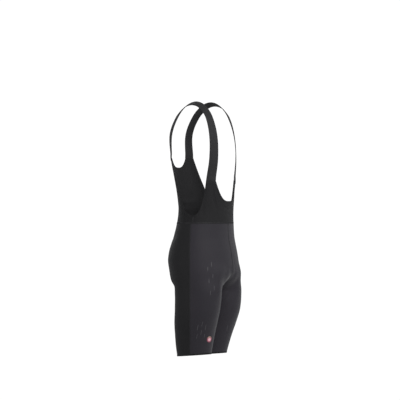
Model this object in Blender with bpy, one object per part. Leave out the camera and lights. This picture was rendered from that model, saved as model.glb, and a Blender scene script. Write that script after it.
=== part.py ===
"""Cycling bib shorts, worn form with no wearer.

Knitted stretch cloth lies as a thin wall on a general figure. The legs are cut as a front and a
back panel each, sewn at the side seam, the inseam and the centre line. A waist seam joins them to
a scooped bib front and a taller bib back, and two elastic straps run between those over the
shoulders. Elastic bands edge the legs, and a small disc sits on the right thigh.

Metres, +Z up. The front faces -Y and the wearer's left is +X. The origin is where the shoulders
carry the straps, midway between them, so the garment hangs below it.
Heights in the tables are above the leg hems. Angles are in degrees.
"""

import bpy
import bmesh
from math import atan2, copysign, cos, degrees, exp, hypot, radians, sin, sqrt
from mathutils import Vector

# ---------------------------------------------------------------- driving sizes
SHOULDER_HEIGHT = 0.8945     # underside of the straps at the shoulders, above the hems
WAIST_SEAM = 0.470           # where the leg panels meet the bib
WALL = 0.0012                # cloth
BAND_WALL = 0.0016           # hem bands and straps
GAP = 0.0003                 # between sewn pieces
HEM_BAND = 0.0060            # height of the bands at the leg hems
HEM_DIP = 0.072              # how far the hems drop towards the back, per metre
HEM_DIP_REACH = 0.12         # height at which that drop has faded out

# The wearer's torso, a general figure: an ellipse at each height.
TORSO_COLUMNS = ("height", "half_width", "half_depth", "centre_y")
TORSO = (
    (0.220, 0.1660, 0.1110, -0.0060),
    (0.290, 0.1690, 0.1136, -0.0062),
    (0.336, 0.1690, 0.1131, 0.0006),
    (0.368, 0.1648, 0.1087, 0.0012),
    (0.395, 0.1600, 0.1018, 0.0000),
    (0.418, 0.1550, 0.0955, -0.0020),
    (0.460, 0.1460, 0.0890, -0.0065),
    (0.514, 0.1390, 0.0862, -0.0100),
    (0.580, 0.1420, 0.0920, -0.0090),
    (0.650, 0.1500, 0.1000, -0.0040),
    (0.720, 0.1580, 0.1050, 0.0020),
    (0.790, 0.1600, 0.1060, 0.0070),
)

# One thigh: an ellipse at each height, its centre out from the middle of the garment.
THIGH_COLUMNS = ("height", "centre_x", "centre_y", "half_width", "half_depth")
THIGH = (
    (0.000, 0.0625, 0.0068, 0.0588, 0.0602),
    (0.035, 0.0670, 0.0043, 0.0638, 0.0653),
    (0.071, 0.0720, 0.0003, 0.0685, 0.0698),
    (0.114, 0.0785, -0.0062, 0.0744, 0.0752),
    (0.164, 0.0832, -0.0150, 0.0780, 0.0799),
    (0.229, 0.0835, -0.0184, 0.0800, 0.0840),
    (0.290, 0.0835, -0.0095, 0.0820, 0.0885),
    (0.340, 0.0835, -0.0055, 0.0830, 0.0905),
    (0.500, 0.0835, -0.0055, 0.0830, 0.0905),
)
THIGH_TOP = 0.223            # the thighs start to flow into the torso here
TORSO_BOTTOM = 0.303         # and the cloth follows the torso alone from here

# The left leg stands a little ahead of the right one: how far at each height.
STANCE_COLUMNS = ("height", "ahead")
STANCE = (
    (0.000, 0.0020),
    (0.080, 0.0026),
    (0.165, 0.0030),
    (0.230, 0.0000),
    (0.320, 0.0006),
    (0.380, 0.0000),
)
STANCE_REACH = 0.040         # it fades out this close to the middle of the garment

# How softly the cloth turns where the two halves meet: radius at each height.
CROTCH_COLUMNS = ("height", "radius")
CROTCH = (
    (0.120, 0.0000),
    (0.200, 0.0060),
    (0.235, 0.0100),
    (0.270, 0.0100),
    (0.340, 0.0000),
)

# The side seams: how far forward of the leg's outermost line they run.
SIDE_SEAM_COLUMNS = ("height", "angle")
SIDE_SEAM = (
    (0.000, 9.0),
    (0.070, 9.6),
    (0.120, 7.8),
    (0.165, 4.6),
    (0.215, 2.6),
    (0.245, 4.2),
    (0.285, 9.2),
    (0.330, 11.6),
    (0.400, 10.8),
    (0.470, 10.0),
)

# The groove down the front centre line, where the legs part, and how far it reaches to each side.
GROIN_COLUMNS = ("height", "depth")
GROIN = (
    (0.236, 0.0000),
    (0.258, 0.0030),
    (0.284, 0.0050),
    (0.304, 0.0022),
    (0.322, 0.0000),
)
GROIN_WIDTH = 0.020

# The largest folds, each a soft trough from a start to an end along the leg's surface. bow is how
# far it bends upwards between them, and a fold on side 0 is on both legs.
FOLD_COLUMNS = (
    "side", "start_angle", "start_height", "end_angle", "end_height", "bow", "width", "depth",
)
FOLDS = (
    (0, -28.0, 0.262, -168.0, 0.226, -0.008, 0.016, 0.0052),
    (-1, -84.0, 0.216, -140.0, 0.207, -0.005, 0.010, 0.0016),
    (1, -78.0, 0.212, -150.0, 0.199, -0.006, 0.011, 0.0018),
    (0, 152.0, 0.222, 100.0, 0.288, -0.010, 0.012, 0.0022),
    (1, 146.0, 0.196, 104.0, 0.246, -0.008, 0.010, 0.0012),
    (0, -24.0, 0.432, -98.0, 0.420, -0.006, 0.012, 0.0016),
)
FOLD_RADIUS = 0.082          # turns a fold's angles into lengths round the leg
FOLD_FADE = 0.40             # share of its length over which each end fades
FOLD_LIP = 0.35              # height of the soft ridges beside a trough, against its depth
FOLD_FADE_OUT = 0.020        # and a fold fades out this close to the middle of the garment

# Upper edges of the bib, one for the front and one for the back. Angles run from that panel's
# own centre line. A horn is where a strap starts.
BIB_COLUMNS = ("centre_height", "horn_angle", "horn_height", "side_angle", "side_height")
BIB_FRONT = dict(zip(BIB_COLUMNS, (0.548, 44.0, 0.622, 80.0, 0.498)))
BIB_BACK = dict(zip(BIB_COLUMNS, (0.668, 29.0, 0.702, 100.0, 0.498)))
SCOOP_POWER = 3.0            # how late the edge rises towards the horns
SIDE_POWER = 2.6             # how soon it falls away outside them

# The straps between their two horns: the middle of the strap, and how its width lies there.
STRAP_WIDTH = 0.040
STRAP_COLUMNS = ("height", "x", "y", "turn", "slope", "crown")
STRAP = (
    (0.7000, 0.0940, -0.0830, 26.0, 0.0, 0.0014),
    (0.7800, 0.0890, -0.0790, 20.0, 4.0, 0.0010),
    (0.8480, 0.0840, -0.0590, 10.0, 12.0, 0.0008),
    (0.8840, 0.0810, -0.0300, 4.0, 18.0, 0.0008),
    (0.8945, 0.0795, 0.0000, 0.0, 20.0, 0.0008),
    (0.8840, 0.0785, 0.0320, -4.0, 18.0, 0.0008),
    (0.8480, 0.0770, 0.0660, -8.0, 12.0, 0.0008),
    (0.7850, 0.0755, 0.0920, -13.0, 4.0, 0.0008),
)

# The disc on the right thigh.
BADGE_HALF_WIDTH = 0.0150
BADGE_HALF_HEIGHT = 0.0120
BADGE_WALL = 0.0010
BADGE_LIFT = 0.0005          # clear of the panel's flat facets
BADGE_HEIGHT = 0.056
BADGE_ANGLE = 74.0

# Colour, roughness and metallic value of each finish.
FINISH = {
    "leg_front": ((0.034, 0.033, 0.038, 1.0), 0.52, 0.0),
    "leg_back": ((0.022, 0.022, 0.025, 1.0), 0.58, 0.0),
    "hem": ((0.018, 0.018, 0.020, 1.0), 0.60, 0.0),
    "bib": ((0.026, 0.026, 0.029, 1.0), 0.62, 0.0),
    "strap": ((0.020, 0.020, 0.022, 1.0), 0.66, 0.0),
    "badge": ((0.430, 0.135, 0.170, 1.0), 0.38, 0.0),
}

SIDES = {"right": -1, "left": 1}


# ---------------------------------------------------------------- tables and curves
def row_at(columns, table, where):
    """The table's row at a value of its first column, on a smooth curve through its rows."""
    first = table[0][0]
    last = table[-1][0]
    where = min(max(where, first), last)
    index = 0
    while index < len(table) - 2 and where > table[index + 1][0]:
        index += 1
    low, high = table[index], table[index + 1]
    before = table[max(index - 1, 0)]
    after = table[min(index + 2, len(table) - 1)]
    span = high[0] - low[0]
    part = (where - low[0]) / span
    values = [where]
    for column in range(1, len(columns)):
        leave = (high[column] - before[column]) / (high[0] - before[0]) * span
        arrive = (after[column] - low[column]) / (after[0] - low[0]) * span
        step = high[column] - low[column]
        bend = (leave - 2 * step + arrive) * part + (3 * step - 2 * leave - arrive)
        values.append(low[column] + (bend * part + leave) * part)
    return dict(zip(columns, values))


def smooth(value):
    """Runs gently from 0 to 1 while value does."""
    value = min(max(value, 0.0), 1.0)
    return value * value * (3 - 2 * value)


# ---------------------------------------------------------------- the figure under the cloth
def torso_radius(torso, thigh, angle):
    """Distance from the thigh's centre to the torso's ellipse, in the direction of angle."""
    out, forward = cos(angle), -sin(angle)
    x, y = thigh["centre_x"], thigh["centre_y"] - torso["centre_y"]
    wide, deep = torso["half_width"] ** 2, torso["half_depth"] ** 2
    a = out * out / wide + forward * forward / deep
    b = x * out / wide + y * forward / deep
    c = x * x / wide + y * y / deep - 1
    return (-b + sqrt(b * b - a * c)) / a


def leg_section(angle, height):
    """How far out from the middle of the garment, and how far back, the figure is."""
    thigh = row_at(THIGH_COLUMNS, THIGH, height)
    torso = row_at(TORSO_COLUMNS, TORSO, height)
    flow = smooth((height - THIGH_TOP) / (TORSO_BOTTOM - THIGH_TOP))
    turn = radians(angle)
    radius = 1 / hypot(cos(turn) / thigh["half_width"], sin(turn) / thigh["half_depth"])
    if flow > 0:
        radius += (torso_radius(torso, thigh, turn) - radius) * flow
    out = thigh["centre_x"] + radius * cos(turn)
    back = thigh["centre_y"] - radius * sin(turn)
    return out, back, radius


def side_seam(height):
    """The side seam's angle at a height."""
    return row_at(SIDE_SEAM_COLUMNS, SIDE_SEAM, height)["angle"]


def fold_depth(side, angle, height):
    """How deep the folds press the cloth in at a point of one leg."""
    total = 0.0
    for row in FOLDS:
        fold = dict(zip(FOLD_COLUMNS, row))
        if fold["side"] not in (0, side):
            continue
        run = radians(fold["end_angle"] - fold["start_angle"]) * FOLD_RADIUS
        rise = fold["end_height"] - fold["start_height"]
        length = hypot(run, rise)
        over = radians(angle - fold["start_angle"]) * FOLD_RADIUS
        up = height - fold["start_height"]
        place = (over * run + up * rise) / length ** 2
        if not 0 < place < 1:
            continue
        off = (up * run - over * rise) / length * (1 if run > 0 else -1)
        off -= fold["bow"] * 4 * place * (1 - place)
        share = (off / fold["width"]) ** 2
        fade = smooth(min(place, 1 - place) / FOLD_FADE)
        total += fold["depth"] * fade * (1 - FOLD_LIP * share) * exp(-share)
    return total


def midline_angle(height, sign):
    """The angle at which the figure's outline meets the middle, or 180 below the crotch."""
    near, far = 90.0, 180.0
    if leg_section(sign * far, height)[0] > 0:
        return sign * far
    for _ in range(40):
        middle = (near + far) / 2
        if leg_section(sign * middle, height)[0] > 0:
            near = middle
        else:
            far = middle
    return sign * near


def find_crotch():
    """The height at which the two thighs meet."""
    low, high = THIGH_TOP, TORSO_BOTTOM
    for _ in range(40):
        middle = (low + high) / 2
        if leg_section(180.0, middle)[0] > 0:
            low = middle
        else:
            high = middle
    return high


CROTCH_HEIGHT = find_crotch()


def leg_point(side, angle, height):
    """A point of the figure's leg or hip, in the garment's frame."""
    out, back, _ = leg_section(angle, height)
    out = max(out, 0.0)
    fold = fold_depth(side, angle, height) * smooth(out / FOLD_FADE_OUT)
    out -= fold * cos(radians(angle))
    back += fold * sin(radians(angle))
    if side > 0:
        ahead = row_at(STANCE_COLUMNS, STANCE, height)["ahead"]
        back -= ahead * smooth(out / STANCE_REACH)
    if sin(radians(angle)) > 0:
        groove = row_at(GROIN_COLUMNS, GROIN, height)["depth"]
        back += groove * exp(-(out / GROIN_WIDTH) ** 2)
    radius = row_at(CROTCH_COLUMNS, CROTCH, height)["radius"]
    if radius > 0.0001:
        share = out / radius
        out += radius * (sqrt(share * share + 2 * share) - share) * exp(-share / 4)
    centre = row_at(THIGH_COLUMNS, THIGH, height)["centre_y"]
    dip = HEM_DIP * (back - centre) * (1 - smooth(height / HEM_DIP_REACH))
    return Vector((side * (out + GAP / 2), back, height - dip - SHOULDER_HEIGHT))


def torso_point(angle, height):
    """A point of the figure's torso. The angle runs from the front centre to the wearer's left."""
    torso = row_at(TORSO_COLUMNS, TORSO, height)
    turn = radians(angle)
    x = torso["half_width"] * sin(turn)
    y = torso["centre_y"] - torso["half_depth"] * cos(turn)
    return Vector((x, y, height - SHOULDER_HEIGHT))


# ---------------------------------------------------------------- cloth
def wall_point(surface, u, v, depth, outwards):
    """The point depth above the surface at u, v, along its normal."""
    point = surface(u, v)
    step = 0.004
    across = surface(u + step, v) - surface(u - step, v)
    along = surface(u, v + step) - surface(u, v - step)
    normal = across.cross(along).normalized() * outwards
    if abs(point.x) < GAP:
        normal.x = 0
        normal.normalize()
    lifted = point + normal * depth
    if abs(lifted.x) < GAP / 2 < 2 * abs(point.x):
        lifted.x = copysign(GAP / 2, point.x)
    return lifted


def raise_wall(sheet, surface, wall, outwards, lift=0.0):
    """Turns a flat pattern, its places from 0 to 1 in x and y, into cloth on the surface.

    The sheet's two faces both lie on true normals, so that the gap at a seam is as wide outside
    as inside.
    """
    inner = {vert: vert.co.copy() for vert in sheet.verts}
    raised = bmesh.ops.extrude_face_region(sheet, geom=list(sheet.faces), use_keep_orig=True)
    outer = {item: item.co.copy() for item in raised["geom"] if isinstance(item, bmesh.types.BMVert)}
    for verts, depth in ((inner, lift), (outer, lift + wall)):
        for vert, place in verts.items():
            vert.co = wall_point(surface, place.x, place.y, depth, outwards)
    bmesh.ops.recalc_face_normals(sheet, faces=list(sheet.faces))


def cloth(name, finish, surface, columns, rows, wall, outwards=1):
    """A panel on the surface. columns and rows list the places of its lines, from 0 to 1."""
    sheet = bmesh.new()
    bmesh.ops.create_grid(sheet, x_segments=len(columns) - 1, y_segments=len(rows) - 1, size=0.5)
    for vert in sheet.verts:
        vert.co.x = columns[round((vert.co.x + 0.5) * (len(columns) - 1))]
        vert.co.y = rows[round((vert.co.y + 0.5) * (len(rows) - 1))]
    raise_wall(sheet, surface, wall, outwards)
    return finished(name, finish, sheet)


def finished(name, finish, sheet):
    """The sheet as an object of the garment, with its own material."""
    mesh = bpy.data.meshes.new(name)
    sheet.to_mesh(mesh)
    sheet.free()
    colour, roughness, metallic = FINISH[finish]
    material = bpy.data.materials.new(name)
    material.use_nodes = True
    shader = material.node_tree.nodes["Principled BSDF"]
    shader.inputs["Base Color"].default_value = colour
    shader.inputs["Roughness"].default_value = roughness
    shader.inputs["Metallic"].default_value = metallic
    mesh.materials.append(material)
    mesh.shade_smooth()
    mesh.set_sharp_from_angle(angle=radians(40))
    piece = bpy.data.objects.new(name, mesh)
    garment.objects.link(piece)
    return piece


def even(count):
    """Evenly spaced places from 0 to 1."""
    return [index / count for index in range(count + 1)]


def crowded(count, middle):
    """Places from 0 to 1, closer together near middle."""
    below = [middle * (1 - (1 - place) ** 1.6) for place in even(count)]
    above = [middle + (1 - middle) * place ** 1.6 for place in even(count)]
    return below + above[1:]


# ---------------------------------------------------------------- leg panels
PANEL_LOW = HEM_BAND + GAP
PANEL_HIGH = WAIST_SEAM - GAP / 2
PANEL_COLUMNS = 14
CROTCH_PLACE = (CROTCH_HEIGHT - PANEL_LOW) / (PANEL_HIGH - PANEL_LOW)


def leg_panel(side, sign):
    """The surface of a front (sign 1) or back (sign -1) leg panel."""

    def surface(u, v):
        u, v = min(max(u, 0), 1), min(max(v, 0), 1)
        height = PANEL_LOW + (PANEL_HIGH - PANEL_LOW) * v
        seam = side_seam(height)
        half_gap = degrees(GAP / 2 / leg_section(seam, height)[2])
        start = seam + sign * half_gap
        end = midline_angle(height, sign)
        if abs(end) == 180:
            end -= sign * half_gap
        return leg_point(side, start + (end - start) * u, height)

    return surface


def make_leg_panels():
    """A front and a back panel on each side."""
    for word, side in SIDES.items():
        for panel, sign in (("leg_front", 1), ("leg_back", -1)):
            cloth(
                f"{panel}_{word}", panel, leg_panel(side, sign),
                columns=even(PANEL_COLUMNS), rows=crowded(13, CROTCH_PLACE),
                wall=WALL, outwards=side * sign * -1,
            )


def make_hem_bands():
    """An elastic ring round each hem, its lines where those of that leg's two panels are."""
    seam = side_seam(0)
    front = [seam + (180 - seam) * place for place in even(PANEL_COLUMNS)]
    back = [180 + (180 + seam) * place for place in even(PANEL_COLUMNS)]
    angles = front[:-1] + back[:-1]
    for word, side in SIDES.items():
        band = bmesh.new()
        bmesh.ops.create_cone(
            band, cap_ends=False, segments=len(angles), radius1=1, radius2=1, depth=1
        )
        for vert in band.verts:
            turn = atan2(vert.co.y, vert.co.x) / radians(360) * len(angles)
            vert.co = (angles[round(turn) % len(angles)], vert.co.z + 0.5, 0)

        def surface(u, v, side=side):
            return leg_point(side, u, HEM_BAND * v)

        raise_wall(band, surface, BAND_WALL, side)
        finished(f"hem_{word}", "hem", band)


# ---------------------------------------------------------------- bib
def horn_half_angle(centre_angle, height):
    """Half the angle that a strap's width covers on the torso."""
    torso = row_at(TORSO_COLUMNS, TORSO, height)
    turn = radians(centre_angle)
    reach = hypot(torso["half_width"] * cos(turn), torso["half_depth"] * sin(turn))
    return degrees(STRAP_WIDTH / 2 / reach)


def bib_edge(bib, angle):
    """Height of the bib's upper edge at an angle from its centre line."""
    half = horn_half_angle(bib["horn_angle"], bib["horn_height"])
    inside, outside = bib["horn_angle"] - half, bib["horn_angle"] + half
    angle = abs(angle)
    if angle < inside:
        rise = (angle / inside) ** SCOOP_POWER
        return bib["centre_height"] + (bib["horn_height"] - bib["centre_height"]) * rise
    if angle > outside:
        fall = max(1 - (angle - outside) / (bib["side_angle"] - outside), 0) ** SIDE_POWER
        return bib["side_height"] + (bib["horn_height"] - bib["side_height"]) * fall
    return bib["horn_height"]


def bib_panel(bib, facing):
    """The surface of the bib front (facing 0) or back (facing 180)."""
    low = WAIST_SEAM + GAP / 2
    torso = row_at(TORSO_COLUMNS, TORSO, low)
    limit = bib["side_angle"] - degrees(GAP / 2 / torso["half_depth"])

    def surface(u, v):
        u, v = min(max(u, 0), 1), min(max(v, 0), 1)
        angle = limit * (2 * u - 1)
        height = low + (bib_edge(bib, angle) - low) * v
        return torso_point(facing + angle, height)

    return surface


def bib_columns(bib):
    """Places across a bib panel, with lines at the corners of both horns."""
    half = horn_half_angle(bib["horn_angle"], bib["horn_height"])
    stops = (0, bib["horn_angle"] - half, bib["horn_angle"] + half, bib["side_angle"])
    angles = []
    for start, end, count in zip(stops, stops[1:], (6, 2, 6)):
        angles += [start + (end - start) * place for place in even(count)[1:]]
    shares = [angle / bib["side_angle"] / 2 for angle in angles]
    return [0.5 - share for share in reversed(shares)] + [0.5] + [0.5 + share for share in shares]


def make_bib():
    """The scooped front and the taller back."""
    for name, bib, facing in (("bib_front", BIB_FRONT, 0), ("bib_back", BIB_BACK, 180)):
        cloth(
            name, "bib", bib_panel(bib, facing),
            columns=bib_columns(bib), rows=even(7), wall=WALL,
        )


# ---------------------------------------------------------------- straps
def horn_row(bib, facing):
    """The strap table's row at a horn on the wearer's left, a seam's gap above the bib."""
    height = bib["horn_height"] + GAP
    half = horn_half_angle(bib["horn_angle"], height)
    places = [abs(facing - bib["horn_angle"] + offset) for offset in (-half, 0, half)]
    inner, apex, outer = (torso_point(place, height) for place in places)
    middle = (inner + outer) / 2
    across = (outer - inner) if outer.x > inner.x else (inner - outer)
    turn = degrees(atan2(across.y, across.x))
    return (height, middle.x, middle.y, turn, 0.0, (apex - middle).length)


STRAP_ROWS = (horn_row(BIB_FRONT, 0),) + STRAP + (horn_row(BIB_BACK, 180),)


def strap_row(place):
    """The strap's row at a place from 0 at the front horn to 1 at the back horn."""
    travelled = [0.0]
    for one, two in zip(STRAP_ROWS, STRAP_ROWS[1:]):
        travelled.append(travelled[-1] + hypot(two[0] - one[0], two[1] - one[1], two[2] - one[2]))
    table = [(way / travelled[-1],) + row for way, row in zip(travelled, STRAP_ROWS)]
    return row_at(("way",) + STRAP_COLUMNS, table, place)


def strap_centre(side, place):
    """The middle of the strap."""
    row = strap_row(place)
    return Vector((side * row["x"], row["y"], row["height"] - SHOULDER_HEIGHT))


def strap_surface(side):
    """The surface of a strap's underside, slightly crowned across."""

    def surface(u, v):
        u, v = min(max(u, 0), 1), min(max(v, 0), 1)
        row = strap_row(v)
        turn, slope = radians(row["turn"]), radians(row["slope"])
        ahead = strap_centre(side, min(v + 0.004, 1)) - strap_centre(side, max(v - 0.004, 0))
        ahead.normalize()
        across = Vector((side * cos(turn) * cos(slope), sin(turn) * cos(slope), -sin(slope)))
        above = across.cross(ahead).normalized() * side
        crown = row["crown"] * (1 - (2 * u - 1) ** 2)
        return strap_centre(side, v) + across * STRAP_WIDTH * (u - 0.5) + above * crown

    return surface


def make_straps():
    """One flat elastic over each shoulder."""
    for word, side in SIDES.items():
        cloth(
            f"strap_{word}", "strap", strap_surface(side),
            columns=even(2), rows=even(30), wall=BAND_WALL, outwards=side,
        )


# ---------------------------------------------------------------- badge
def make_badge():
    """A disc that follows the right front panel, just clear of its outer face."""
    side = SIDES["right"]
    reach = leg_section(BADGE_ANGLE, BADGE_HEIGHT)[2]

    def surface(u, v):
        angle = BADGE_ANGLE + degrees(u * BADGE_HALF_WIDTH / reach)
        return leg_point(side, angle, BADGE_HEIGHT + v * BADGE_HALF_HEIGHT)

    disc = bmesh.new()
    bmesh.ops.create_circle(disc, cap_ends=True, cap_tris=True, segments=24, radius=1)
    hub = min(disc.verts, key=lambda vert: vert.co.length)
    bmesh.ops.subdivide_edges(disc, edges=list(hub.link_edges), cuts=1)
    raise_wall(disc, surface, BADGE_WALL, -side, lift=WALL + BADGE_LIFT)
    finished("badge", "badge", disc)


# ---------------------------------------------------------------- build
for thing in list(bpy.data.objects):
    bpy.data.objects.remove(thing, do_unlink=True)

garment = bpy.data.collections.new("cycling_bib_shorts")
bpy.context.scene.collection.children.link(garment)

make_leg_panels()
make_hem_bands()
make_bib()
make_straps()
make_badge()
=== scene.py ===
"""Cycling bib shorts in worn form: dark stretch-knit legs, a thin knit bib and elastic straps.

Metres, +Z up, the front facing -Y. The origin is where a wearer's shoulders carry the straps.
The sections follow the garment as it is sewn together, from the legs upwards.
"""

from functools import lru_cache
from math import atan2, cos, degrees, exp, hypot, pi, radians, sin, sqrt

import bmesh
import bpy
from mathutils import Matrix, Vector


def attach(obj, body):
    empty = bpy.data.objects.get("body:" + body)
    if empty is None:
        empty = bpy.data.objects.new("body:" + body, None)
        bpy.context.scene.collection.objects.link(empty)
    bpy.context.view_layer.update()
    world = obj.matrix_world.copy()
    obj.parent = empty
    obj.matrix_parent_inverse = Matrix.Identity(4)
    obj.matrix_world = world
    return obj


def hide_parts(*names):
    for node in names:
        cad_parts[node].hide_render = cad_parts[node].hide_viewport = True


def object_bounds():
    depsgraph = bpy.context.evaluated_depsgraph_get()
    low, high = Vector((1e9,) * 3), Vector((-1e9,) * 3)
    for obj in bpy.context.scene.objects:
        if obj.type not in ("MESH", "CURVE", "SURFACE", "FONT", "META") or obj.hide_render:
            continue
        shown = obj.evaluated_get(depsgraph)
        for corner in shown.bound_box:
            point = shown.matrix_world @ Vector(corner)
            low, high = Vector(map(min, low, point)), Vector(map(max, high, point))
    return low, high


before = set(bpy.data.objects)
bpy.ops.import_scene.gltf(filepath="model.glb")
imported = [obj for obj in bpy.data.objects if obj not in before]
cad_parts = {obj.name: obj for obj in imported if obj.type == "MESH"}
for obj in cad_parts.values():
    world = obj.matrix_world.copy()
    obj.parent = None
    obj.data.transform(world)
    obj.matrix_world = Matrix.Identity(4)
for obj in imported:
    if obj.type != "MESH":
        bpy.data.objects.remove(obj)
cad_low, cad_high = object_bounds()

# ---------------------------------------- camera, light and floor
# A level camera looks at the wearer's right side from slightly in front. A broad soft light
# stands high beside the camera, and the floor and the air behind are plain white.
VIEW_AZIMUTH = radians(-65)
CAMERA_DISTANCE = 12.0
CAMERA_LENS = 302.4
CAMERA_BESIDE = -0.0125
CAMERA_HEIGHT = -0.3427
LIGHT_AIM = Vector((0, 0, -0.5))
FLOOR_BELOW_HEMS = 0.62
FLOOR_RADIUS = 8.0
WHITE_GLOW = 1.05

toward_camera = Vector((sin(VIEW_AZIMUTH), -cos(VIEW_AZIMUTH), 0))
camera_right = Vector((cos(VIEW_AZIMUTH), sin(VIEW_AZIMUTH), 0))


def place_in_scene(name, data):
    """A new object in the scene."""
    made = bpy.data.objects.new(name, data)
    bpy.context.scene.collection.objects.link(made)
    return made


def as_mesh(name, shape):
    """The shape as a mesh."""
    mesh = bpy.data.meshes.new(name)
    shape.to_mesh(mesh)
    shape.free()
    return mesh


camera_data = bpy.data.cameras.new("camera")
camera_data.lens = CAMERA_LENS
camera_data.sensor_width = 36
camera_data.clip_end = 80
camera = place_in_scene("camera", camera_data)
camera.location = toward_camera * CAMERA_DISTANCE + camera_right * CAMERA_BESIDE
camera.location.z = CAMERA_HEIGHT
camera.rotation_euler = (radians(90), 0, VIEW_AZIMUTH)
bpy.context.scene.camera = camera
bpy.context.scene.view_settings.view_transform = "Standard"


def soft_light(name, forward, right, height, size, power):
    """A square soft light, placed from the garment's middle and aimed at it."""
    data = bpy.data.lights.new(name, "AREA")
    data.shape = "SQUARE"
    data.size = size
    data.energy = power
    light = place_in_scene(name, data)
    light.location = toward_camera * forward + camera_right * right
    light.location.z = height
    aim = LIGHT_AIM - light.location
    light.rotation_euler = aim.to_track_quat("-Z", "Y").to_euler()


soft_light("key", forward=2.2, right=2.7, height=1.4, size=2.4, power=94)
soft_light("fill", forward=2.0, right=-2.6, height=-0.75, size=2.0, power=21)
soft_light("back", forward=-2.4, right=-0.6, height=0.8, size=2.0, power=11)


def feed(tree, node, inputs):
    """Gives a node's inputs a value each, or a link from another node's output."""
    for socket, value in inputs.items():
        if isinstance(value, bpy.types.NodeSocket):
            tree.links.new(value, node.inputs[socket])
        else:
            node.inputs[socket].default_value = value


def add_node(tree, kind, inputs):
    """A new shader node's outputs."""
    node = tree.nodes.new("ShaderNode" + kind)
    feed(tree, node, inputs)
    return node.outputs


def show_to_camera(tree, output, shown, lighting):
    """The camera sees one shader, and everything else is lit by the other."""
    ray = add_node(tree, "LightPath", {})["Is Camera Ray"]
    choice = add_node(tree, "MixShader", {"Fac": ray, 1: lighting, 2: shown})
    tree.links.new(choice["Shader"], tree.nodes[output].inputs["Surface"])


world = bpy.data.worlds.new("studio")
world.use_nodes = True
bpy.context.scene.world = world
air = world.node_tree
ambient = air.nodes["Background"]
feed(air, ambient, {"Color": (0.97, 0.98, 1.0, 1), "Strength": 0.40})
backdrop = add_node(air, "Background", {"Color": (1, 1, 1, 1), "Strength": WHITE_GLOW})
show_to_camera(air, "World Output", backdrop["Background"], ambient.outputs["Background"])

floor_shape = bmesh.new()
bmesh.ops.create_circle(floor_shape, cap_ends=True, segments=96, radius=FLOOR_RADIUS)
floor_height = cad_low.z - FLOOR_BELOW_HEMS
bmesh.ops.translate(floor_shape, vec=(0, 0, floor_height), verts=floor_shape.verts)
floor = place_in_scene("floor", as_mesh("floor", floor_shape))
white_floor = bpy.data.materials.new("white_floor")
white_floor.use_nodes = True
floor_tree = white_floor.node_tree
floor_shader = floor_tree.nodes["Principled BSDF"]
feed(floor_tree, floor_shader, {"Base Color": (0.5, 0.5, 0.5, 1), "Roughness": 0.8})
floor_glow = add_node(floor_tree, "Emission", {"Strength": WHITE_GLOW})["Emission"]
show_to_camera(floor_tree, "Material Output", floor_glow, floor_shader.outputs["BSDF"])
floor.data.materials.append(white_floor)

# ---------------------------------------- leg panels
# Each leg is a front and a back panel of warp-knit nylon and elastane, cut small and stretched on
# the wearer. The front knit is satin, the back one flatter and darker: its darkness is partly its
# own fabric and partly painted shade for the side turned away from the key light. Both run from
# the hem up to the waist seam.

# The cloth lies on a general figure, given by an ellipse at each height for the thighs and for
# the torso. Heights are above the hems, and angles turn round the thigh from its outermost line
# towards the front.
SHOULDER_HEIGHT = 0.8945
WAIST_SEAM = 0.470
HEM_BAND = 0.0060
HEM_DIP = 0.072
HEM_DIP_REACH = 0.12
LEG_WALL = 0.0010
LEG_NET = (80, 156)
HALVINGS = 40
SHARP_ANGLE = radians(50)
SIDES = {"right": -1, "left": 1}

TORSO = (
    ("height", "half_width", "half_depth", "centre_y"),
    (0.220, 0.1660, 0.1110, -0.0060),
    (0.290, 0.1690, 0.1136, -0.0062),
    (0.336, 0.1690, 0.1131, 0.0006),
    (0.368, 0.1648, 0.1087, 0.0012),
    (0.395, 0.1600, 0.1018, 0.0000),
    (0.418, 0.1550, 0.0955, -0.0020),
    (0.460, 0.1460, 0.0890, -0.0065),
    (0.514, 0.1390, 0.0862, -0.0100),
    (0.580, 0.1420, 0.0920, -0.0090),
    (0.650, 0.1500, 0.1000, -0.0040),
    (0.720, 0.1580, 0.1050, 0.0020),
    (0.790, 0.1600, 0.1060, 0.0070),
)
THIGH = (
    ("height", "centre_x", "centre_y", "half_width", "half_depth"),
    (0.000, 0.0625, 0.0068, 0.0588, 0.0602),
    (0.035, 0.0670, 0.0043, 0.0638, 0.0653),
    (0.071, 0.0720, 0.0003, 0.0685, 0.0698),
    (0.114, 0.0785, -0.0062, 0.0744, 0.0752),
    (0.164, 0.0832, -0.0150, 0.0780, 0.0799),
    (0.229, 0.0835, -0.0184, 0.0800, 0.0840),
    (0.290, 0.0835, -0.0095, 0.0820, 0.0885),
    (0.340, 0.0835, -0.0055, 0.0830, 0.0905),
    (0.500, 0.0835, -0.0055, 0.0830, 0.0905),
)
THIGH_TOP = 0.223
TORSO_BOTTOM = 0.303

# How far the left leg stands ahead of the right one.
STANCE = (
    ("height", "ahead"),
    (0.000, 0.0020), (0.080, 0.0026), (0.165, 0.0030), (0.230, 0.0000), (0.320, 0.0006), (0.380, 0.0000),
)
STANCE_REACH = 0.040

# How the fork between the legs is rounded.
CROTCH = (
    ("height", "radius"),
    (0.120, 0.0000), (0.200, 0.0060), (0.235, 0.0100), (0.270, 0.0100), (0.340, 0.0000),
)
CROTCH_LEAST = 0.0001

# The side seams: how far forward of the leg's outermost line they run.
SIDE_SEAM = (
    ("height", "angle"),
    (0.000, 9.0), (0.070, 9.6), (0.120, 7.8), (0.165, 4.6), (0.215, 2.6),
    (0.245, 4.2), (0.285, 9.2), (0.330, 11.6), (0.400, 10.8), (0.470, 10.0),
)

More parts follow.
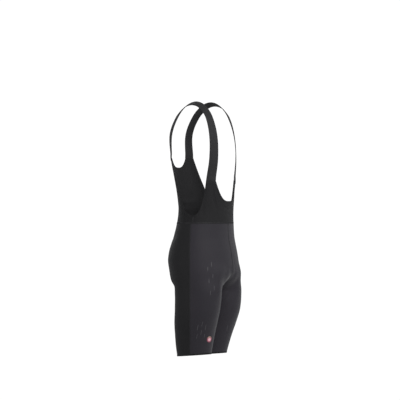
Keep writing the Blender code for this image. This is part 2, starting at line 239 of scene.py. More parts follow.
# The broad groove down the front centre line, and the sharp crease in it, where the legs part.
GROIN = (
    ("height", "depth"),
    (0.236, 0.0000), (0.258, 0.0030), (0.284, 0.0050), (0.304, 0.0034), (0.322, 0.0016), (0.346, 0.0000),
)
GROIN_WIDTH = 0.020
CREASE = (
    ("height", "depth"),
    (0.238, 0.0000), (0.246, 0.0040), (0.258, 0.0045), (0.272, 0.0020), (0.286, 0.0000),
)
CREASE_WIDTH = 0.0055

# Creases, each a soft trough with low ridges beside it. The first six are the large folds that
# the garment's solids have too, and then come the finer ones of cloth under tension. The last
# three are broad and soft: the full front of each thigh beside the groin, and the hollow above.
FOLD_COLUMNS = (
    "place", "start_angle", "start_height", "end_angle", "end_height", "bow", "width", "depth",
)
LEG_FOLDS = (
    FOLD_COLUMNS,
    (0, -28, 0.262, -168, 0.226, -0.008, 0.016, 0.0052),
    (-1, -84, 0.216, -140, 0.207, -0.005, 0.010, 0.0016),
    (1, -78, 0.212, -150, 0.199, -0.006, 0.011, 0.0018),
    (0, 152, 0.222, 100, 0.288, -0.010, 0.012, 0.0022),
    (1, 146, 0.196, 104, 0.246, -0.008, 0.010, 0.0012),
    (0, -24, 0.432, -98, 0.420, -0.006, 0.012, 0.0016),
    (-1, -62, 0.262, -118, 0.252, -0.004, 0.006, 0.0008),
    (1, -70, 0.259, -132, 0.246, -0.005, 0.006, 0.0009),
    (-1, -96, 0.186, -158, 0.170, -0.004, 0.007, 0.0007),
    (1, -88, 0.178, -150, 0.160, -0.004, 0.007, 0.0008),
    (-1, 168, 0.206, 128, 0.232, -0.004, 0.006, 0.0009),
    (1, 170, 0.176, 132, 0.206, -0.004, 0.006, 0.0008),
    (-1, 148, 0.254, 116, 0.300, -0.003, 0.005, 0.0006),
    (1, 150, 0.258, 112, 0.306, -0.004, 0.006, 0.0007),
    (-1, -70, 0.096, -136, 0.104, 0.004, 0.008, 0.0008),
    (1, -62, 0.082, -130, 0.092, 0.004, 0.008, 0.0009),
    (-1, -92, 0.060, -150, 0.066, 0.003, 0.006, 0.0006),
    (0, -40, 0.404, -92, 0.398, -0.003, 0.008, 0.0007),
    (-1, 86, 0.192, 83, 0.344, 0.000, 0.023, -0.0048),
    (1, 97, 0.196, 94, 0.334, 0.000, 0.027, -0.0038),
    (0, 96, 0.310, 142, 0.302, 0.000, 0.022, 0.0034),
)
THIGH_RADIUS = 0.082
FOLD_REACH = 3
FOLD_FADE = 0.40
FOLD_LIP = 0.35
FOLD_FADE_OUT = 0.020


def named(table):
    """A table's rows as dictionaries. Its first row names its columns."""
    columns, *rows = table
    return [dict(zip(columns, row)) for row in rows]


@lru_cache(maxsize=20000)
def row_at(table, where):
    """A table's row at a value of its first column, on a smooth curve through its rows."""
    columns, *rows = table
    where = min(max(where, rows[0][0]), rows[-1][0])
    index = 0
    while index < len(rows) - 2 and where > rows[index + 1][0]:
        index += 1
    low, high = rows[index], rows[index + 1]
    before = rows[max(index - 1, 0)]
    after = rows[min(index + 2, len(rows) - 1)]
    span = high[0] - low[0]
    part = (where - low[0]) / span
    values = [where]
    for column in range(1, len(columns)):
        leave = (high[column] - before[column]) / (high[0] - before[0]) * span
        arrive = (after[column] - low[column]) / (after[0] - low[0]) * span
        step = high[column] - low[column]
        bend = (leave - 2 * step + arrive) * part + (3 * step - 2 * leave - arrive)
        values.append(low[column] + (bend * part + leave) * part)
    return dict(zip(columns, values))


def smooth(value):
    """Runs gently from 0 to 1 while value does."""
    value = min(max(value, 0.0), 1.0)
    return value * value * (3 - 2 * value)


def torso_radius(torso, thigh, turn):
    """Distance from the thigh's centre to the torso's ellipse in that direction."""
    out, forward = cos(turn), -sin(turn)
    x, y = thigh["centre_x"], thigh["centre_y"] - torso["centre_y"]
    wide, deep = torso["half_width"] ** 2, torso["half_depth"] ** 2
    a = out * out / wide + forward * forward / deep
    b = x * out / wide + y * forward / deep
    c = x * x / wide + y * y / deep - 1
    return (-b + sqrt(b * b - a * c)) / a


@lru_cache(maxsize=400000)
def leg_section(angle, height):
    """How far out from the middle of the garment, and how far back, the figure is."""
    thigh = row_at(THIGH, height)
    torso = row_at(TORSO, height)
    flow = smooth((height - THIGH_TOP) / (TORSO_BOTTOM - THIGH_TOP))
    turn = radians(angle)
    radius = 1 / hypot(cos(turn) / thigh["half_width"], sin(turn) / thigh["half_depth"])
    if flow > 0:
        radius += (torso_radius(torso, thigh, turn) - radius) * flow
    return thigh["centre_x"] + radius * cos(turn), thigh["centre_y"] - radius * sin(turn)


def side_seam(height):
    """The side seam's angle at a height."""
    return row_at(SIDE_SEAM, height)["angle"]


def halved(is_below, low, high):
    """The narrow span in which a condition that holds at low stops holding."""
    for _ in range(HALVINGS):
        middle = (low + high) / 2
        if is_below(middle):
            low = middle
        else:
            high = middle
    return low, high


@lru_cache(maxsize=20000)
def midline_angle(height, sign):
    """The angle at which the figure's outline meets the middle, or 180 below the crotch."""

    def is_beside(angle):
        return leg_section(sign * angle, height)[0] > 0

    return sign * (180.0 if is_beside(180.0) else halved(is_beside, 90.0, 180.0)[0])


def pressed(folds, place, angle, height, radius):
    """How deep the folds of one place press the cloth in. Place 0 in a fold means every place."""
    total = 0.0
    for fold in folds:
        if fold["place"] not in (0, place):
            continue
        run = radians(fold["end_angle"] - fold["start_angle"]) * radius
        rise = fold["end_height"] - fold["start_height"]
        length = hypot(run, rise)
        over = radians(angle - fold["start_angle"]) * radius
        up = height - fold["start_height"]
        along = (over * run + up * rise) / length ** 2
        if not 0 < along < 1:
            continue
        off = (up * run - over * rise) / length * (1 if run > 0 else -1)
        off -= fold["bow"] * 4 * along * (1 - along)
        share = (off / fold["width"]) ** 2
        if share < FOLD_REACH ** 2:
            fade = smooth(min(along, 1 - along) / FOLD_FADE)
            total += fold["depth"] * fade * (1 - FOLD_LIP * share) * exp(-share)
    return total


leg_folds = named(LEG_FOLDS)


def leg_point(side, angle, height):
    """A point of the figure's leg or hip. side is -1 on the wearer's right and 1 on the left."""
    out, back = leg_section(angle, height)
    out = max(out, 0.0)
    fold = pressed(leg_folds, side, angle, height, THIGH_RADIUS) * smooth(out / FOLD_FADE_OUT)
    out -= fold * cos(radians(angle))
    back += fold * sin(radians(angle))
    if side > 0:
        back -= row_at(STANCE, height)["ahead"] * smooth(out / STANCE_REACH)
    if sin(radians(angle)) > 0:
        back += row_at(GROIN, height)["depth"] * exp(-(out / GROIN_WIDTH) ** 2)
        back += row_at(CREASE, height)["depth"] * exp(-(out / CREASE_WIDTH) ** 2)
    radius = row_at(CROTCH, height)["radius"]
    if radius > CROTCH_LEAST:
        share = out / radius
        out += radius * (sqrt(share * share + 2 * share) - share) * exp(-share / 4)
    centre = row_at(THIGH, height)["centre_y"]
    dip = HEM_DIP * (back - centre) * (1 - smooth(height / HEM_DIP_REACH))
    return Vector((side * out, back, height - dip - SHOULDER_HEIGHT))


def net_of(shape, columns, rows):
    """A new flat net as (vertex, u, v), with u and v from 0 to 1."""
    made = bmesh.ops.create_grid(shape, x_segments=columns, y_segments=rows, size=0.5)
    return [(vert, vert.co.x + 0.5, vert.co.y + 0.5) for vert in made["verts"]]


def map_flat(shape, flat):
    """Gives each vertex its place on the cloth laid flat, as the shape's UV map."""
    uv = shape.loops.layers.uv.new("cloth")
    for face in shape.faces:
        for loop in face.loops:
            loop[uv].uv = flat[loop.vert]


def flat_places(grid, columns, rows, grain, lengthwise):
    """Each vertex's place on the cloth laid flat, measured out from the column of the grain."""
    flat = {}
    straight = round(grain * columns)
    travelled = 0.0
    for j in range(rows + 1):
        if j:
            travelled += (grid[straight, j].co - grid[straight, j - 1].co).length
        for step in (1, -1):
            way, previous = 0.0, grid[straight, j]
            for i in range(straight, columns + 1 if step > 0 else -1, step):
                vert = grid[i, j]
                gone = vert.co - previous.co
                if not lengthwise:
                    gone.z = 0
                way += gone.length * step
                flat[vert] = (way, travelled if lengthwise else vert.co.z)
                previous = vert
    return flat


def sort_faces(shape):
    """Puts the faces in the same order each time."""
    shape.verts.index_update()
    corners = {face: sorted(vert.index for vert in face.verts) for face in shape.faces}
    most = 4 * len(shape.verts)
    shape.faces.sort(key=lambda face: corners[face][0] * most + sum(corners[face]))


def lay_cloth(surface, net, wall, outwards, grain=0.5, ring=False, lengthwise=False):
    """A panel of cloth on a surface over 0 to 1 each way, with its wall on the outside.

    wall is a thickness, or a function that gives it at u, v. A ring's first and last columns are
    joined. The UV map is the cloth laid flat, in metres, measured out from the column where the
    grain runs true: upwards, or lengthwise along that column.
    """
    columns, rows = net
    sheet = bmesh.new()
    grid, places = {}, {}
    for vert, u, v in net_of(sheet, columns, rows):
        grid[round(u * columns), round(v * rows)] = vert
        places[vert] = (u, v)
        vert.co = surface(u, v)
    map_flat(sheet, flat_places(grid, columns, rows, grain, lengthwise))
    sheet.normal_update()
    turned = -1 if grid[columns // 2, rows // 2].normal.dot(outwards) < 0 else 1
    raised = {}
    for vert, (u, v) in places.items():
        thickness = wall(u, v) if callable(wall) else wall
        raised[tuple(vert.co)] = vert.co + vert.normal * thickness * turned
    lifted = bmesh.ops.extrude_face_region(sheet, geom=list(sheet.faces), use_keep_orig=True)
    outer = {item for item in lifted["geom"] if isinstance(item, bmesh.types.BMVert)}
    for vert in outer:
        vert.co = raised[tuple(vert.co)]
    if ring:
        ends = {grid[i, j] for i in (0, columns) for j in range(rows + 1)}
        closures = [
            face for face in sheet.faces
            if len(ends.intersection(face.verts)) == 2 and len(outer.intersection(face.verts)) == 2
        ]
        bmesh.ops.delete(sheet, geom=closures, context="FACES")
        bmesh.ops.remove_doubles(sheet, verts=list(sheet.verts), dist=0.00001)
    bmesh.ops.recalc_face_normals(sheet, faces=list(sheet.faces))
    sort_faces(sheet)
    return sheet


def sew_on(name, shape, material, slot, *nodes):
    """The shape as a piece of the garment, which is one body. nodes are the solids it shows."""
    mesh = as_mesh(name, shape)
    mesh.shade_smooth()
    mesh.set_sharp_from_angle(angle=SHARP_ANGLE)
    mesh.materials.append(material)
    piece = place_in_scene(name, mesh)
    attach(piece, "root")
    if nodes:
        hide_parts(*nodes)
    return piece


def declare_cut(piece):
    """Measures the cloth's width and length laid flat, from its UV map; nothing uses them."""
    mesh = piece.data
    xs, ys = zip(*(item.uv for item in mesh.uv_layers["cloth"].data))
    wide, tall = max(xs) - min(xs), max(ys) - min(ys)


KNIT_LEAN = 0.5
KNIT_LOOP = 0.45


def make_knit_group():
    """Warp knit: upright wales of small V-shaped stitches. Map is the cloth's UV in metres."""
    group = bpy.data.node_groups.new("knit", "ShaderNodeTree")
    group.interface.new_socket("Map", in_out="INPUT", socket_type="NodeSocketVector")
    for name in ("Wale", "Course"):
        group.interface.new_socket(name, in_out="INPUT", socket_type="NodeSocketFloat")
    # Gaps marks the hollows between the stitches, where the knit materials paint shade.
    for name in ("Height", "Gaps"):
        group.interface.new_socket(name, in_out="OUTPUT", socket_type="NodeSocketFloat")
    given = group.nodes.new("NodeGroupInput").outputs
    result = group.nodes.new("NodeGroupOutput")
    place = add_node(group, "SeparateXYZ", {"Vector": given["Map"]})

    def maths(operation, *values):
        """A Math node's result."""
        node = group.nodes.new("ShaderNodeMath")
        node.operation = operation
        feed(group, node, dict(enumerate(values)))
        return node.outputs["Value"]

    def distance_from_middle(value):
        """0 in the middle of each repeat and 1 at its edges."""
        offset = maths("SUBTRACT", maths("FRACT", value), 0.5)
        return maths("MULTIPLY", maths("ABSOLUTE", offset), 2.0)

    wale = distance_from_middle(maths("DIVIDE", place["X"], given["Wale"]))
    upright = maths("DIVIDE", place["Y"], given["Course"])
    course = distance_from_middle(maths("ADD", upright, maths("MULTIPLY", wale, KNIT_LEAN)))
    rib = maths("SUBTRACT", 1.0, maths("MULTIPLY", wale, wale))
    loop = maths("SUBTRACT", 1.0, maths("MULTIPLY", course, course))
    height = maths("MULTIPLY", rib, maths("ADD", maths("MULTIPLY", loop, KNIT_LOOP), 1 - KNIT_LOOP))
    feed(group, result, {"Height": height, "Gaps": maths("SUBTRACT", 1.0, height)})
    return group


knit = make_knit_group()


def new_material(name):
    """A material, its node tree, and its Object and UV coordinates."""
    material = bpy.data.materials.new(name)
    material.use_nodes = True
    return material, material.node_tree, add_node(material.node_tree, "TexCoord", {})


def mixed(tree, factor, first, second, blend_type="MIX"):
    """The second colour over the first one, by a factor."""
    node = tree.nodes.new("ShaderNodeMix")
    node.data_type = "RGBA"
    node.blend_type = blend_type
    feed(tree, node, {"Factor": factor, "A": first, "B": second})
    return node.outputs["Result"]


def bumped(tree, height, distance, strength):
    """The surface's normal with that relief."""
    inputs = {"Height": height, "Distance": distance, "Strength": strength}
    return add_node(tree, "Bump", inputs)["Normal"]


def knitted(tree, cloth_map, wale, course):
    """The knit's height and gaps, at a size of stitch."""
    node = tree.nodes.new("ShaderNodeGroup")
    node.node_tree = knit
    feed(tree, node, {"Map": cloth_map, "Wale": wale, "Course": course})
    return node.outputs


def finish(tree, inputs):
    """Sets or links the material's own shader."""
    feed(tree, tree.nodes["Principled BSDF"], inputs)


def knit_material(name, light, dark, roughness, wale, course, relief, sheen, gap_shade=0.55):
    """Stretch knit: a slow drift between two shades, with painted shade between the stitches."""
    material, tree, places = new_material(name)
    noise = {"Vector": places["Object"], "Scale": 9.0, "Detail": 2.0}
    drift = add_node(tree, "TexNoise", noise)["Fac"]
    stitches = knitted(tree, places["UV"], wale, course)
    shades = mixed(tree, drift, dark, light)
    # Painted shade: the colour is darkened in the gaps between the stitches.
    shadow = (gap_shade, gap_shade, gap_shade * 1.05, 1)
    gloss = {"Value": drift, "To Min": roughness - 0.04, "To Max": roughness + 0.06}
    finish(tree, {
        "Base Color": mixed(tree, stitches["Gaps"], shades, shadow, blend_type="MULTIPLY"),
        "Roughness": add_node(tree, "MapRange", gloss)["Result"],
        "Specular IOR Level": 0.24,
        "Sheen Weight": sheen,
        "Sheen Roughness": 0.45,
        "Normal": bumped(tree, stitches["Height"], distance=relief, strength=0.5),
    })
    return material


PANEL_GAP = 0.0001
PANEL_LOW = HEM_BAND + PANEL_GAP
PANEL_HIGH = WAIST_SEAM - PANEL_GAP
HEM_PUCKERS = 30
HEM_PUCKER_DEPTH = 0.0004
HEM_PUCKER_REACH = 0.022

LEG_KNIT = {"roughness": 0.62, "wale": 0.0009, "course": 0.0007, "relief": 0.00012}
front_knit = knit_material(
    "front_knit", light=(0.0345, 0.0303, 0.0390, 1), dark=(0.0270, 0.0244, 0.0314, 1),
    sheen=0.22, **LEG_KNIT,
)
# The back knit's darker colour is partly painted shade.
back_knit = knit_material(
    "back_knit", light=(0.0155, 0.0151, 0.0167, 1), dark=(0.0124, 0.0122, 0.0134, 1),
    sheen=0.08, **LEG_KNIT,
)


def leg_skin(side):
    """The leg's surface by angle and height, slightly gathered above the hem band."""

    def surface(angle, height):
        turn = radians(angle)
        near = max(1 - height / HEM_PUCKER_REACH, 0.0)
        # The gathers are neither evenly spaced nor equally deep.
        spacing = turn * HEM_PUCKERS + 2 * sin(turn * 3 + side)
        wave = sin(spacing) * (0.7 + 0.3 * sin(turn * 5 + 1))
        gather = HEM_PUCKER_DEPTH * near * near * wave
        out = Vector((side * cos(turn), -sin(turn), 0))
        return leg_point(side, angle, height) + out * gather

    return surface


def leg_panel(side, sign):
    """The surface of a front (sign 1) or back (sign -1) leg panel."""
    skin = leg_skin(side)

    def surface(u, v):
        height = PANEL_LOW + (PANEL_HIGH - PANEL_LOW) * v
        end = midline_angle(height, sign)
        start = side_seam(height)
        return skin(start + (end - start) * u, height)

    return surface


leg_pieces = {}
for word, side in SIDES.items():
    for panel, sign, fabric in (("leg_front", 1, front_knit), ("leg_back", -1, back_knit)):
        outwards = Vector((side * 0.5, -sign, 0))
        shape = lay_cloth(leg_panel(side, sign), LEG_NET, LEG_WALL, outwards, grain=0)
        piece = sew_on(f"{panel}_{word}_cloth", shape, fabric, panel, f"{panel}_{word}")
        leg_pieces[panel, word] = piece

# ---------------------------------------- hem bands
# A narrow band of knitted rubber elastic is turned in and stitched round each leg opening, and
# holds it down on the thigh. It is ribbed upright by its rubber threads. Its colour, far darker
# than the legs' knit, is partly the black rubber and partly painted shade along the hem's edge.
HEM_NET = (180, 8)
HEM_WALL = 0.0013
HEM_EDGE_SHARE = 0.75
HEM_FOLD_SHARE = 0.35
HEM_RIB = 0.0016
RIB_LOOP = 0.6


def ribbed_material(name, colour, groove_shade, roughness, pitch, relief):
    """Elastic webbing, ribbed across the UV map's first axis, with painted shade in the grooves between
    the ribs.
    """
    material, tree, places = new_material(name)
    ribs = knitted(tree, places["UV"], wale=pitch, course=pitch * RIB_LOOP)
    finish(tree, {
        # Painted shade: the grooves between the ribs take the darker colour.
        "Base Color": mixed(tree, ribs["Gaps"], colour, groove_shade),
        "Roughness": roughness,
        "Specular IOR Level": 0.3,
        "Sheen Weight": 0.05,
        "Normal": bumped(tree, ribs["Height"], distance=relief, strength=0.7),
    })
    return material


# Painted shade: the band's very dark colour partly stands in for the shade along the hem's edge.
hem_elastic = ribbed_material(
    "hem_elastic", colour=(0.0060, 0.0060, 0.0066, 1), groove_shade=(0.0030, 0.0030, 0.0032, 1),
    roughness=0.62, pitch=HEM_RIB, relief=0.0002,
)


def hem_surface(side):
    """Once round the leg from its outermost line."""
    skin = leg_skin(side)
    return lambda u, v: skin(360 * u, HEM_BAND * v)


def hem_wall(_, v):
    """Thicker in the middle, where the band is folded."""
    return HEM_WALL * (HEM_EDGE_SHARE + HEM_FOLD_SHARE * sin(pi * v))


for word, side in SIDES.items():
    shape = lay_cloth(hem_surface(side), HEM_NET, hem_wall, Vector((-side, 0, 0)), ring=True)
    sew_on(f"hem_{word}_band", shape, hem_elastic, "hem", f"hem_{word}")

# ---------------------------------------- leg seams
# Flatlock seams join the butted panels down each side, up each inseam and round the crotch. Each
# is a low ribbon of cover thread, laid zigzag over the join, between two rows of needle thread.
SEAM_HALF_WIDTH = 0.0026
SEAM_RISE = 0.00022
SEAM_PACE = 0.0012
SEAM_PROFILE = (
    (-1.0, -0.4), (-0.8, 1.0), (0.0, 0.8), (0.8, 1.0), (1.0, -0.4), (0.0, -1.5), (-1.0, -0.4),
)
ZIGZAG_HALF_WIDTH = 0.0016
NEEDLE_ROW = 0.0021
THREAD_RADIUS = 0.00017
STITCH_RISE = 0.9
STITCH_DIP = -0.6
INSEAM_TOP = 0.226
SEAM_SAMPLES = 200
FEEL_DEGREES = 0.5
FEEL_LENGTH = 0.001


def above(surface, across, along, lift, facing, step=FEEL_DEGREES):
    """A point that far above a surface given by angle and height, and the normal there."""
    sideways = surface(across + step, along) - surface(across - step, along)
    upwards = surface(across, along + FEEL_LENGTH) - surface(across, along - FEEL_LENGTH)
    normal = sideways.cross(upwards).normalized() * facing
    return surface(across, along) + normal * lift, normal


def paced(line, pace):
    """The line of points and normals again, its points evenly spaced about that far apart."""
    ways = [0.0]
    for one, two in zip(line, line[1:]):
        ways.append(ways[-1] + (two[0] - one[0]).length)
    count = max(round(ways[-1] / pace / 2), 1) * 2
    result = []
    index = 0
    for step in range(count + 1):
        way = ways[-1] * step / count
        while index < len(ways) - 2 and ways[index + 1] < way:
            index += 1
        share = (way - ways[index]) / (ways[index + 1] - ways[index])
        one, two = line[index], line[index + 1]
        result.append((one[0].lerp(two[0], share), one[1].lerp(two[1], share).normalized()))
    return result


def beside(line, index, off, lift):
    """A point beside a line on the cloth, off to its right and lifted from it."""
    place, normal = line[index]
    ahead = line[min(index + 1, len(line) - 1)][0] - line[max(index - 1, 0)][0]
    return place + ahead.cross(normal).normalized() * off + normal * lift


def close(shape, nearest=0.000001):
    """Joins the edges of a rolled-up net, caps its open ends and turns its faces outwards."""
    bmesh.ops.remove_doubles(shape, verts=list(shape.verts), dist=nearest)
    bmesh.ops.holes_fill(shape, edges=list(shape.edges), sides=0)
    bmesh.ops.recalc_face_normals(shape, faces=list(shape.faces))


def seam_ribbon(line):
    """A low ribbon over a seam, its edges and its back sunk in the cloth."""
    ribbon = bmesh.new()
    across, length = len(SEAM_PROFILE) - 1, len(line) - 1
    flat = {}
    for vert, u, v in net_of(ribbon, across, length):
        off, rise = SEAM_PROFILE[round(u * across)]
        flat[vert] = (v * length * SEAM_PACE, off * SEAM_HALF_WIDTH)
        vert.co = beside(line, round(v * length), off * SEAM_HALF_WIDTH, rise * SEAM_RISE)
    map_flat(ribbon, flat)
    close(ribbon, nearest=0.00003)
    return ribbon


def thread_along(runs, radius):
    """Thread along each run of points."""
    curve = bpy.data.curves.new("thread", "CURVE")
    curve.dimensions = "3D"
    curve.bevel_depth = radius
    curve.bevel_resolution = 0
    curve.use_fill_caps = True
    for run in runs:
        spline = curve.splines.new("POLY")
        spline.points.add(len(run) - 1)
        for point, place in zip(spline.points, run):
            point.co = (*place, 1)
    bobbin = bpy.data.objects.new("thread", curve)
    mesh = bpy.data.meshes.new_from_object(bobbin)
    bpy.data.objects.remove(bobbin)
    bpy.data.curves.remove(curve)
    shape = bmesh.new()
    shape.from_mesh(mesh)
    bpy.data.meshes.remove(mesh)
    return shape


def stitch_row(line, off, radius):
    """A row of stitches beside a line, each rising from the cloth and dipping back into it."""
    lifts = (STITCH_DIP * radius, STITCH_RISE * radius)
    return [beside(line, index, off, lifts[index % 2]) for index in range(len(line))]


def zigzag(line, half_width, lift):
    """A thread's run from side to side of a line."""
    offs = (-half_width, half_width)
    return [beside(line, index, offs[index % 2], lift) for index in range(len(line))]


def thread_material(name, light, dark):
    """Twisted polyester thread."""
    material, tree, places = new_material(name)
    twist = add_node(tree, "TexNoise", {"Vector": places["Object"], "Scale": 1400.0})["Fac"]
    shades = mixed(tree, twist, dark, light)
    finish(tree, {"Base Color": shades, "Roughness": 0.5, "Specular IOR Level": 0.3})
    return material


def sew_seam(name, line, slot):
    """A flatlock seam along a line of points and normals on the cloth."""
    line = paced(line, SEAM_PACE)
    ribbon = sew_on(f"{name}_cover", seam_ribbon(line), cover_stitch, slot)
    rows = [stitch_row(line, off, THREAD_RADIUS + SEAM_RISE) for off in (NEEDLE_ROW, -NEEDLE_ROW)]
    threads = thread_along([zigzag(line, ZIGZAG_HALF_WIDTH, SEAM_RISE)] + rows, THREAD_RADIUS)
    return [ribbon, sew_on(f"{name}_threads", threads, seam_thread, slot)]


cover_stitch = ribbed_material(
    "cover_stitch", colour=(0.0200, 0.0190, 0.0220, 1), groove_shade=(0.0110, 0.0106, 0.0120, 1),
    roughness=0.6, pitch=0.0012, relief=0.00015,
)
seam_thread = thread_material(
    "seam_thread", light=(0.0280, 0.0265, 0.0300, 1), dark=(0.0150, 0.0145, 0.0165, 1)
)


def is_apart(height):
    """Whether the legs are apart at a height."""
    return leg_section(180.0, height)[0] > 0


CROTCH_HEIGHT = halved(is_apart, THIGH_TOP, TORSO_BOTTOM)[1]


def crotch_line():
    """Down the front centre line, between the legs and up the back centre line."""
    line = []
    for step in range(-SEAM_SAMPLES, SEAM_SAMPLES + 1):
        height = CROTCH_HEIGHT + (PANEL_HIGH - CROTCH_HEIGHT) * (step / SEAM_SAMPLES) ** 2
        place = leg_point(1, midline_angle(height, 1 if step <= 0 else -1), height)
        line.append(Vector((0, place.y, place.z)))
    result = []
    for index, place in enumerate(line):
        ahead = line[min(index + 1, len(line) - 1)] - line[max(index - 1, 0)]
        normal = ahead.cross(Vector((1, 0, 0))).normalized()
        result.append((place + normal * LEG_WALL, normal))
    return result


seams = {word: [] for word in SIDES}
rise = (PANEL_HIGH - PANEL_LOW) / SEAM_SAMPLES
heights = [PANEL_LOW + rise * step for step in range(SEAM_SAMPLES + 1)]
for word, side in SIDES.items():
    skin = leg_skin(side)
    outer = [above(skin, side_seam(height), height, LEG_WALL, -side) for height in heights]
    seams[word] += sew_seam(f"side_seam_{word}", outer, "leg_back")
    inner = [above(skin, 180.0, height, LEG_WALL, -side) for height in heights if height < INSEAM_TOP]
    seams[word] += sew_seam(f"inseam_{word}", inner, "leg_back")
seams["right"] += sew_seam("crotch_seam", crotch_line(), "leg_back")

# ---------------------------------------- thigh marks
# Short slim bars of grey reflective ink are heat-pressed on the front of both thighs, in small
# staggered fields, nearly in the shade of the cloth.
MARK_FIELDS = (
    ("angle", "height", "columns", "rows", "step", "length"),
    (56.0, 0.224, 2, 3, 0.042, 0.016),
    (31.0, 0.070, 3, 2, 0.032, 0.019),
    (114.0, 0.094, 1, 1, 0.000, 0.024),
)
MARK_SPACING = 11.5
MARK_STAGGER = 0.40
MARK_LONGER = 1.15
MARK_WIDTH = 0.0017
MARK_RISE = 0.00022
MARK_SINK = 0.00005
MARK_LEAN = 0.0022
MARK_SEGMENTS = 10
MARK_ROUNDING = 8
DEGREES_PER_METRE = degrees(1 / THIGH_RADIUS)
MARK_PROFILE = (
    (-1.0, 0.0), (-0.5, 0.94), (0.0, 1.0), (0.5, 0.94), (1.0, 0.0), (0.0, -1.0), (-1.0, 0.0),
)


def bar(shape, skin, side, angle, height, length):
    """One low bar with round ends, nearly upright on the thigh."""
    around = len(MARK_PROFILE) - 1
    for vert, u, v in net_of(shape, around, MARK_SEGMENTS):
        share, rise = MARK_PROFILE[round(u * around)]
        way = 2 * v - 1
        end = max(1 - way ** MARK_ROUNDING, 0.0)
        off = share * MARK_WIDTH / 2 * sqrt(end) + way * MARK_LEAN / 2
        lift = LEG_WALL + MARK_RISE * rise * end - MARK_SINK
        turned = angle + off * DEGREES_PER_METRE
        vert.co = above(skin, turned, height + way * length / 2, lift, -side)[0]


def ink_material():
    """Reflective ink: fine glass beads in grey, rubbed a little."""
    material, tree, places = new_material("reflective_ink")
    beads = add_node(tree, "TexVoronoi", {"Vector": places["Object"], "Scale": 2600.0})["Distance"]
    shades = mixed(tree, beads, (0.112, 0.107, 0.117, 1), (0.062, 0.059, 0.066, 1))
    finish(tree, {"Base Color": shades, "Roughness": 0.42, "Metallic": 0.15})
    return material


reflective_ink = ink_material()
for word, side in SIDES.items():
    bars = bmesh.new()
    for field in named(MARK_FIELDS):
        for column in range(field["columns"]):
            for row in range(field["rows"]):
                angle = field["angle"] + MARK_SPACING * column
                height = field["height"] + field["step"] * (row + MARK_STAGGER * (column % 2))
                length = field["length"] * (MARK_LONGER if (row + column) % 2 else 1.0)
                bar(bars, leg_skin(side), side, angle, height, length)
    close(bars)
    seams[word].append(sew_on(f"thigh_marks_{word}", bars, reflective_ink, "leg_front"))

# ---------------------------------------- badge
# A small oval of silicone rubber is heat-pressed on the front of the right thigh: a plain raised
# rim round a paler, slightly domed middle, whose paleness is partly a painted highlight.
BADGE_HALF_WIDTH = 0.0150
BADGE_HALF_HEIGHT = 0.0118
BADGE_HEIGHT = 0.056
BADGE_ANGLE = 74.0
BADGE_RIM = 0.0011
BADGE_SEGMENTS = 64
BADGE_PROFILE = (
    (0.0, 0.80), (0.30, 0.78), (0.54, 0.62), (0.62, 0.70), (0.74, 1.0), (0.88, 0.95), (0.96, 0.60),
    (1.0, -0.30), (0.5, -0.30), (0.0, -0.30),
)

# Colours of the silicone by distance from the badge's middle, the pale middle partly a painted
# highlight; then the painted shade at its foot and the painted highlight at its crest.
SILICONE_ZONES = (
    (0.0, (0.95, 0.60, 0.65, 1)), (0.48, (0.88, 0.48, 0.54, 1)), (0.60, (0.44, 0.130, 0.180, 1)),
    (0.86, (0.38, 0.105, 0.150, 1)), (1.0, (0.10, 0.030, 0.045, 1)),
)
FOOT_SHADE = (0.13, 0.050, 0.065, 1)
CREST_HIGHLIGHT = (0.42, 0.30, 0.22, 1)


def badge_shape():
    """The oval as rings about its middle, each at its place in the profile."""
    disc = bmesh.new()
    rings = len(BADGE_PROFILE) - 1
    skin = leg_skin(SIDES["right"])
    flat = {}
    for vert, u, v in net_of(disc, BADGE_SEGMENTS, rings):
        share, rise = BADGE_PROFILE[round(v * rings)]
        x, y = share * cos(2 * pi * u), share * sin(2 * pi * u)
        flat[vert] = (x, y)
        angle = BADGE_ANGLE + x * BADGE_HALF_WIDTH * DEGREES_PER_METRE
        height = BADGE_HEIGHT + y * BADGE_HALF_HEIGHT
        vert.co = above(skin, angle, height, LEG_WALL + rise * BADGE_RIM, 1)[0]
    map_flat(disc, flat)
    close(disc)
    return disc


def silicone_material():
    """Satin silicone: a dusty pink rim with painted shade at its foot and a painted highlight at its
    top, and a pale middle that is partly a painted highlight.
    """
    material, tree, places = new_material("badge_silicone")
    upright = add_node(tree, "SeparateXYZ", {"Vector": places["UV"]})["Y"]
    reach = tree.nodes.new("ShaderNodeVectorMath")
    reach.operation = "LENGTH"
    feed(tree, reach, {0: places["UV"]})
    zones = tree.nodes.new("ShaderNodeValToRGB")
    for index, (place, colour) in enumerate(SILICONE_ZONES):
        stop = zones.color_ramp.elements[index] if index < 2 else zones.color_ramp.elements.new(place)
        stop.position = place
        stop.color = colour
    feed(tree, zones, {"Fac": reach.outputs["Value"]})
    low = {"Value": upright, "From Min": -1.0, "From Max": -0.4, "To Min": 0.55, "To Max": 0.0}
    high = {"Value": upright, "From Min": 0.30, "From Max": 0.75, "To Max": 0.7}
    # Painted shade darkens the badge's lower edge, and a painted highlight lightens its top.
    foot_shade = add_node(tree, "MapRange", low)["Result"]
    crest_highlight = add_node(tree, "MapRange", high)["Result"]
    shaded = mixed(tree, foot_shade, zones.outputs["Color"], FOOT_SHADE)
    grain = add_node(tree, "TexNoise", {"Vector": places["Object"], "Scale": 1800.0})["Fac"]
    finish(tree, {
        "Base Color": mixed(tree, crest_highlight, shaded, CREST_HIGHLIGHT),
        "Roughness": 0.4,
        "Normal": bumped(tree, grain, distance=0.00005, strength=0.4),
    })
    return material


badge = sew_on("badge_disc", badge_shape(), silicone_material(), "badge", "badge")
seams["right"].append(badge)

for word in SIDES:
    declare_cut(
        leg_pieces["leg_front", word],
    )
    declare_cut(leg_pieces["leg_back", word])

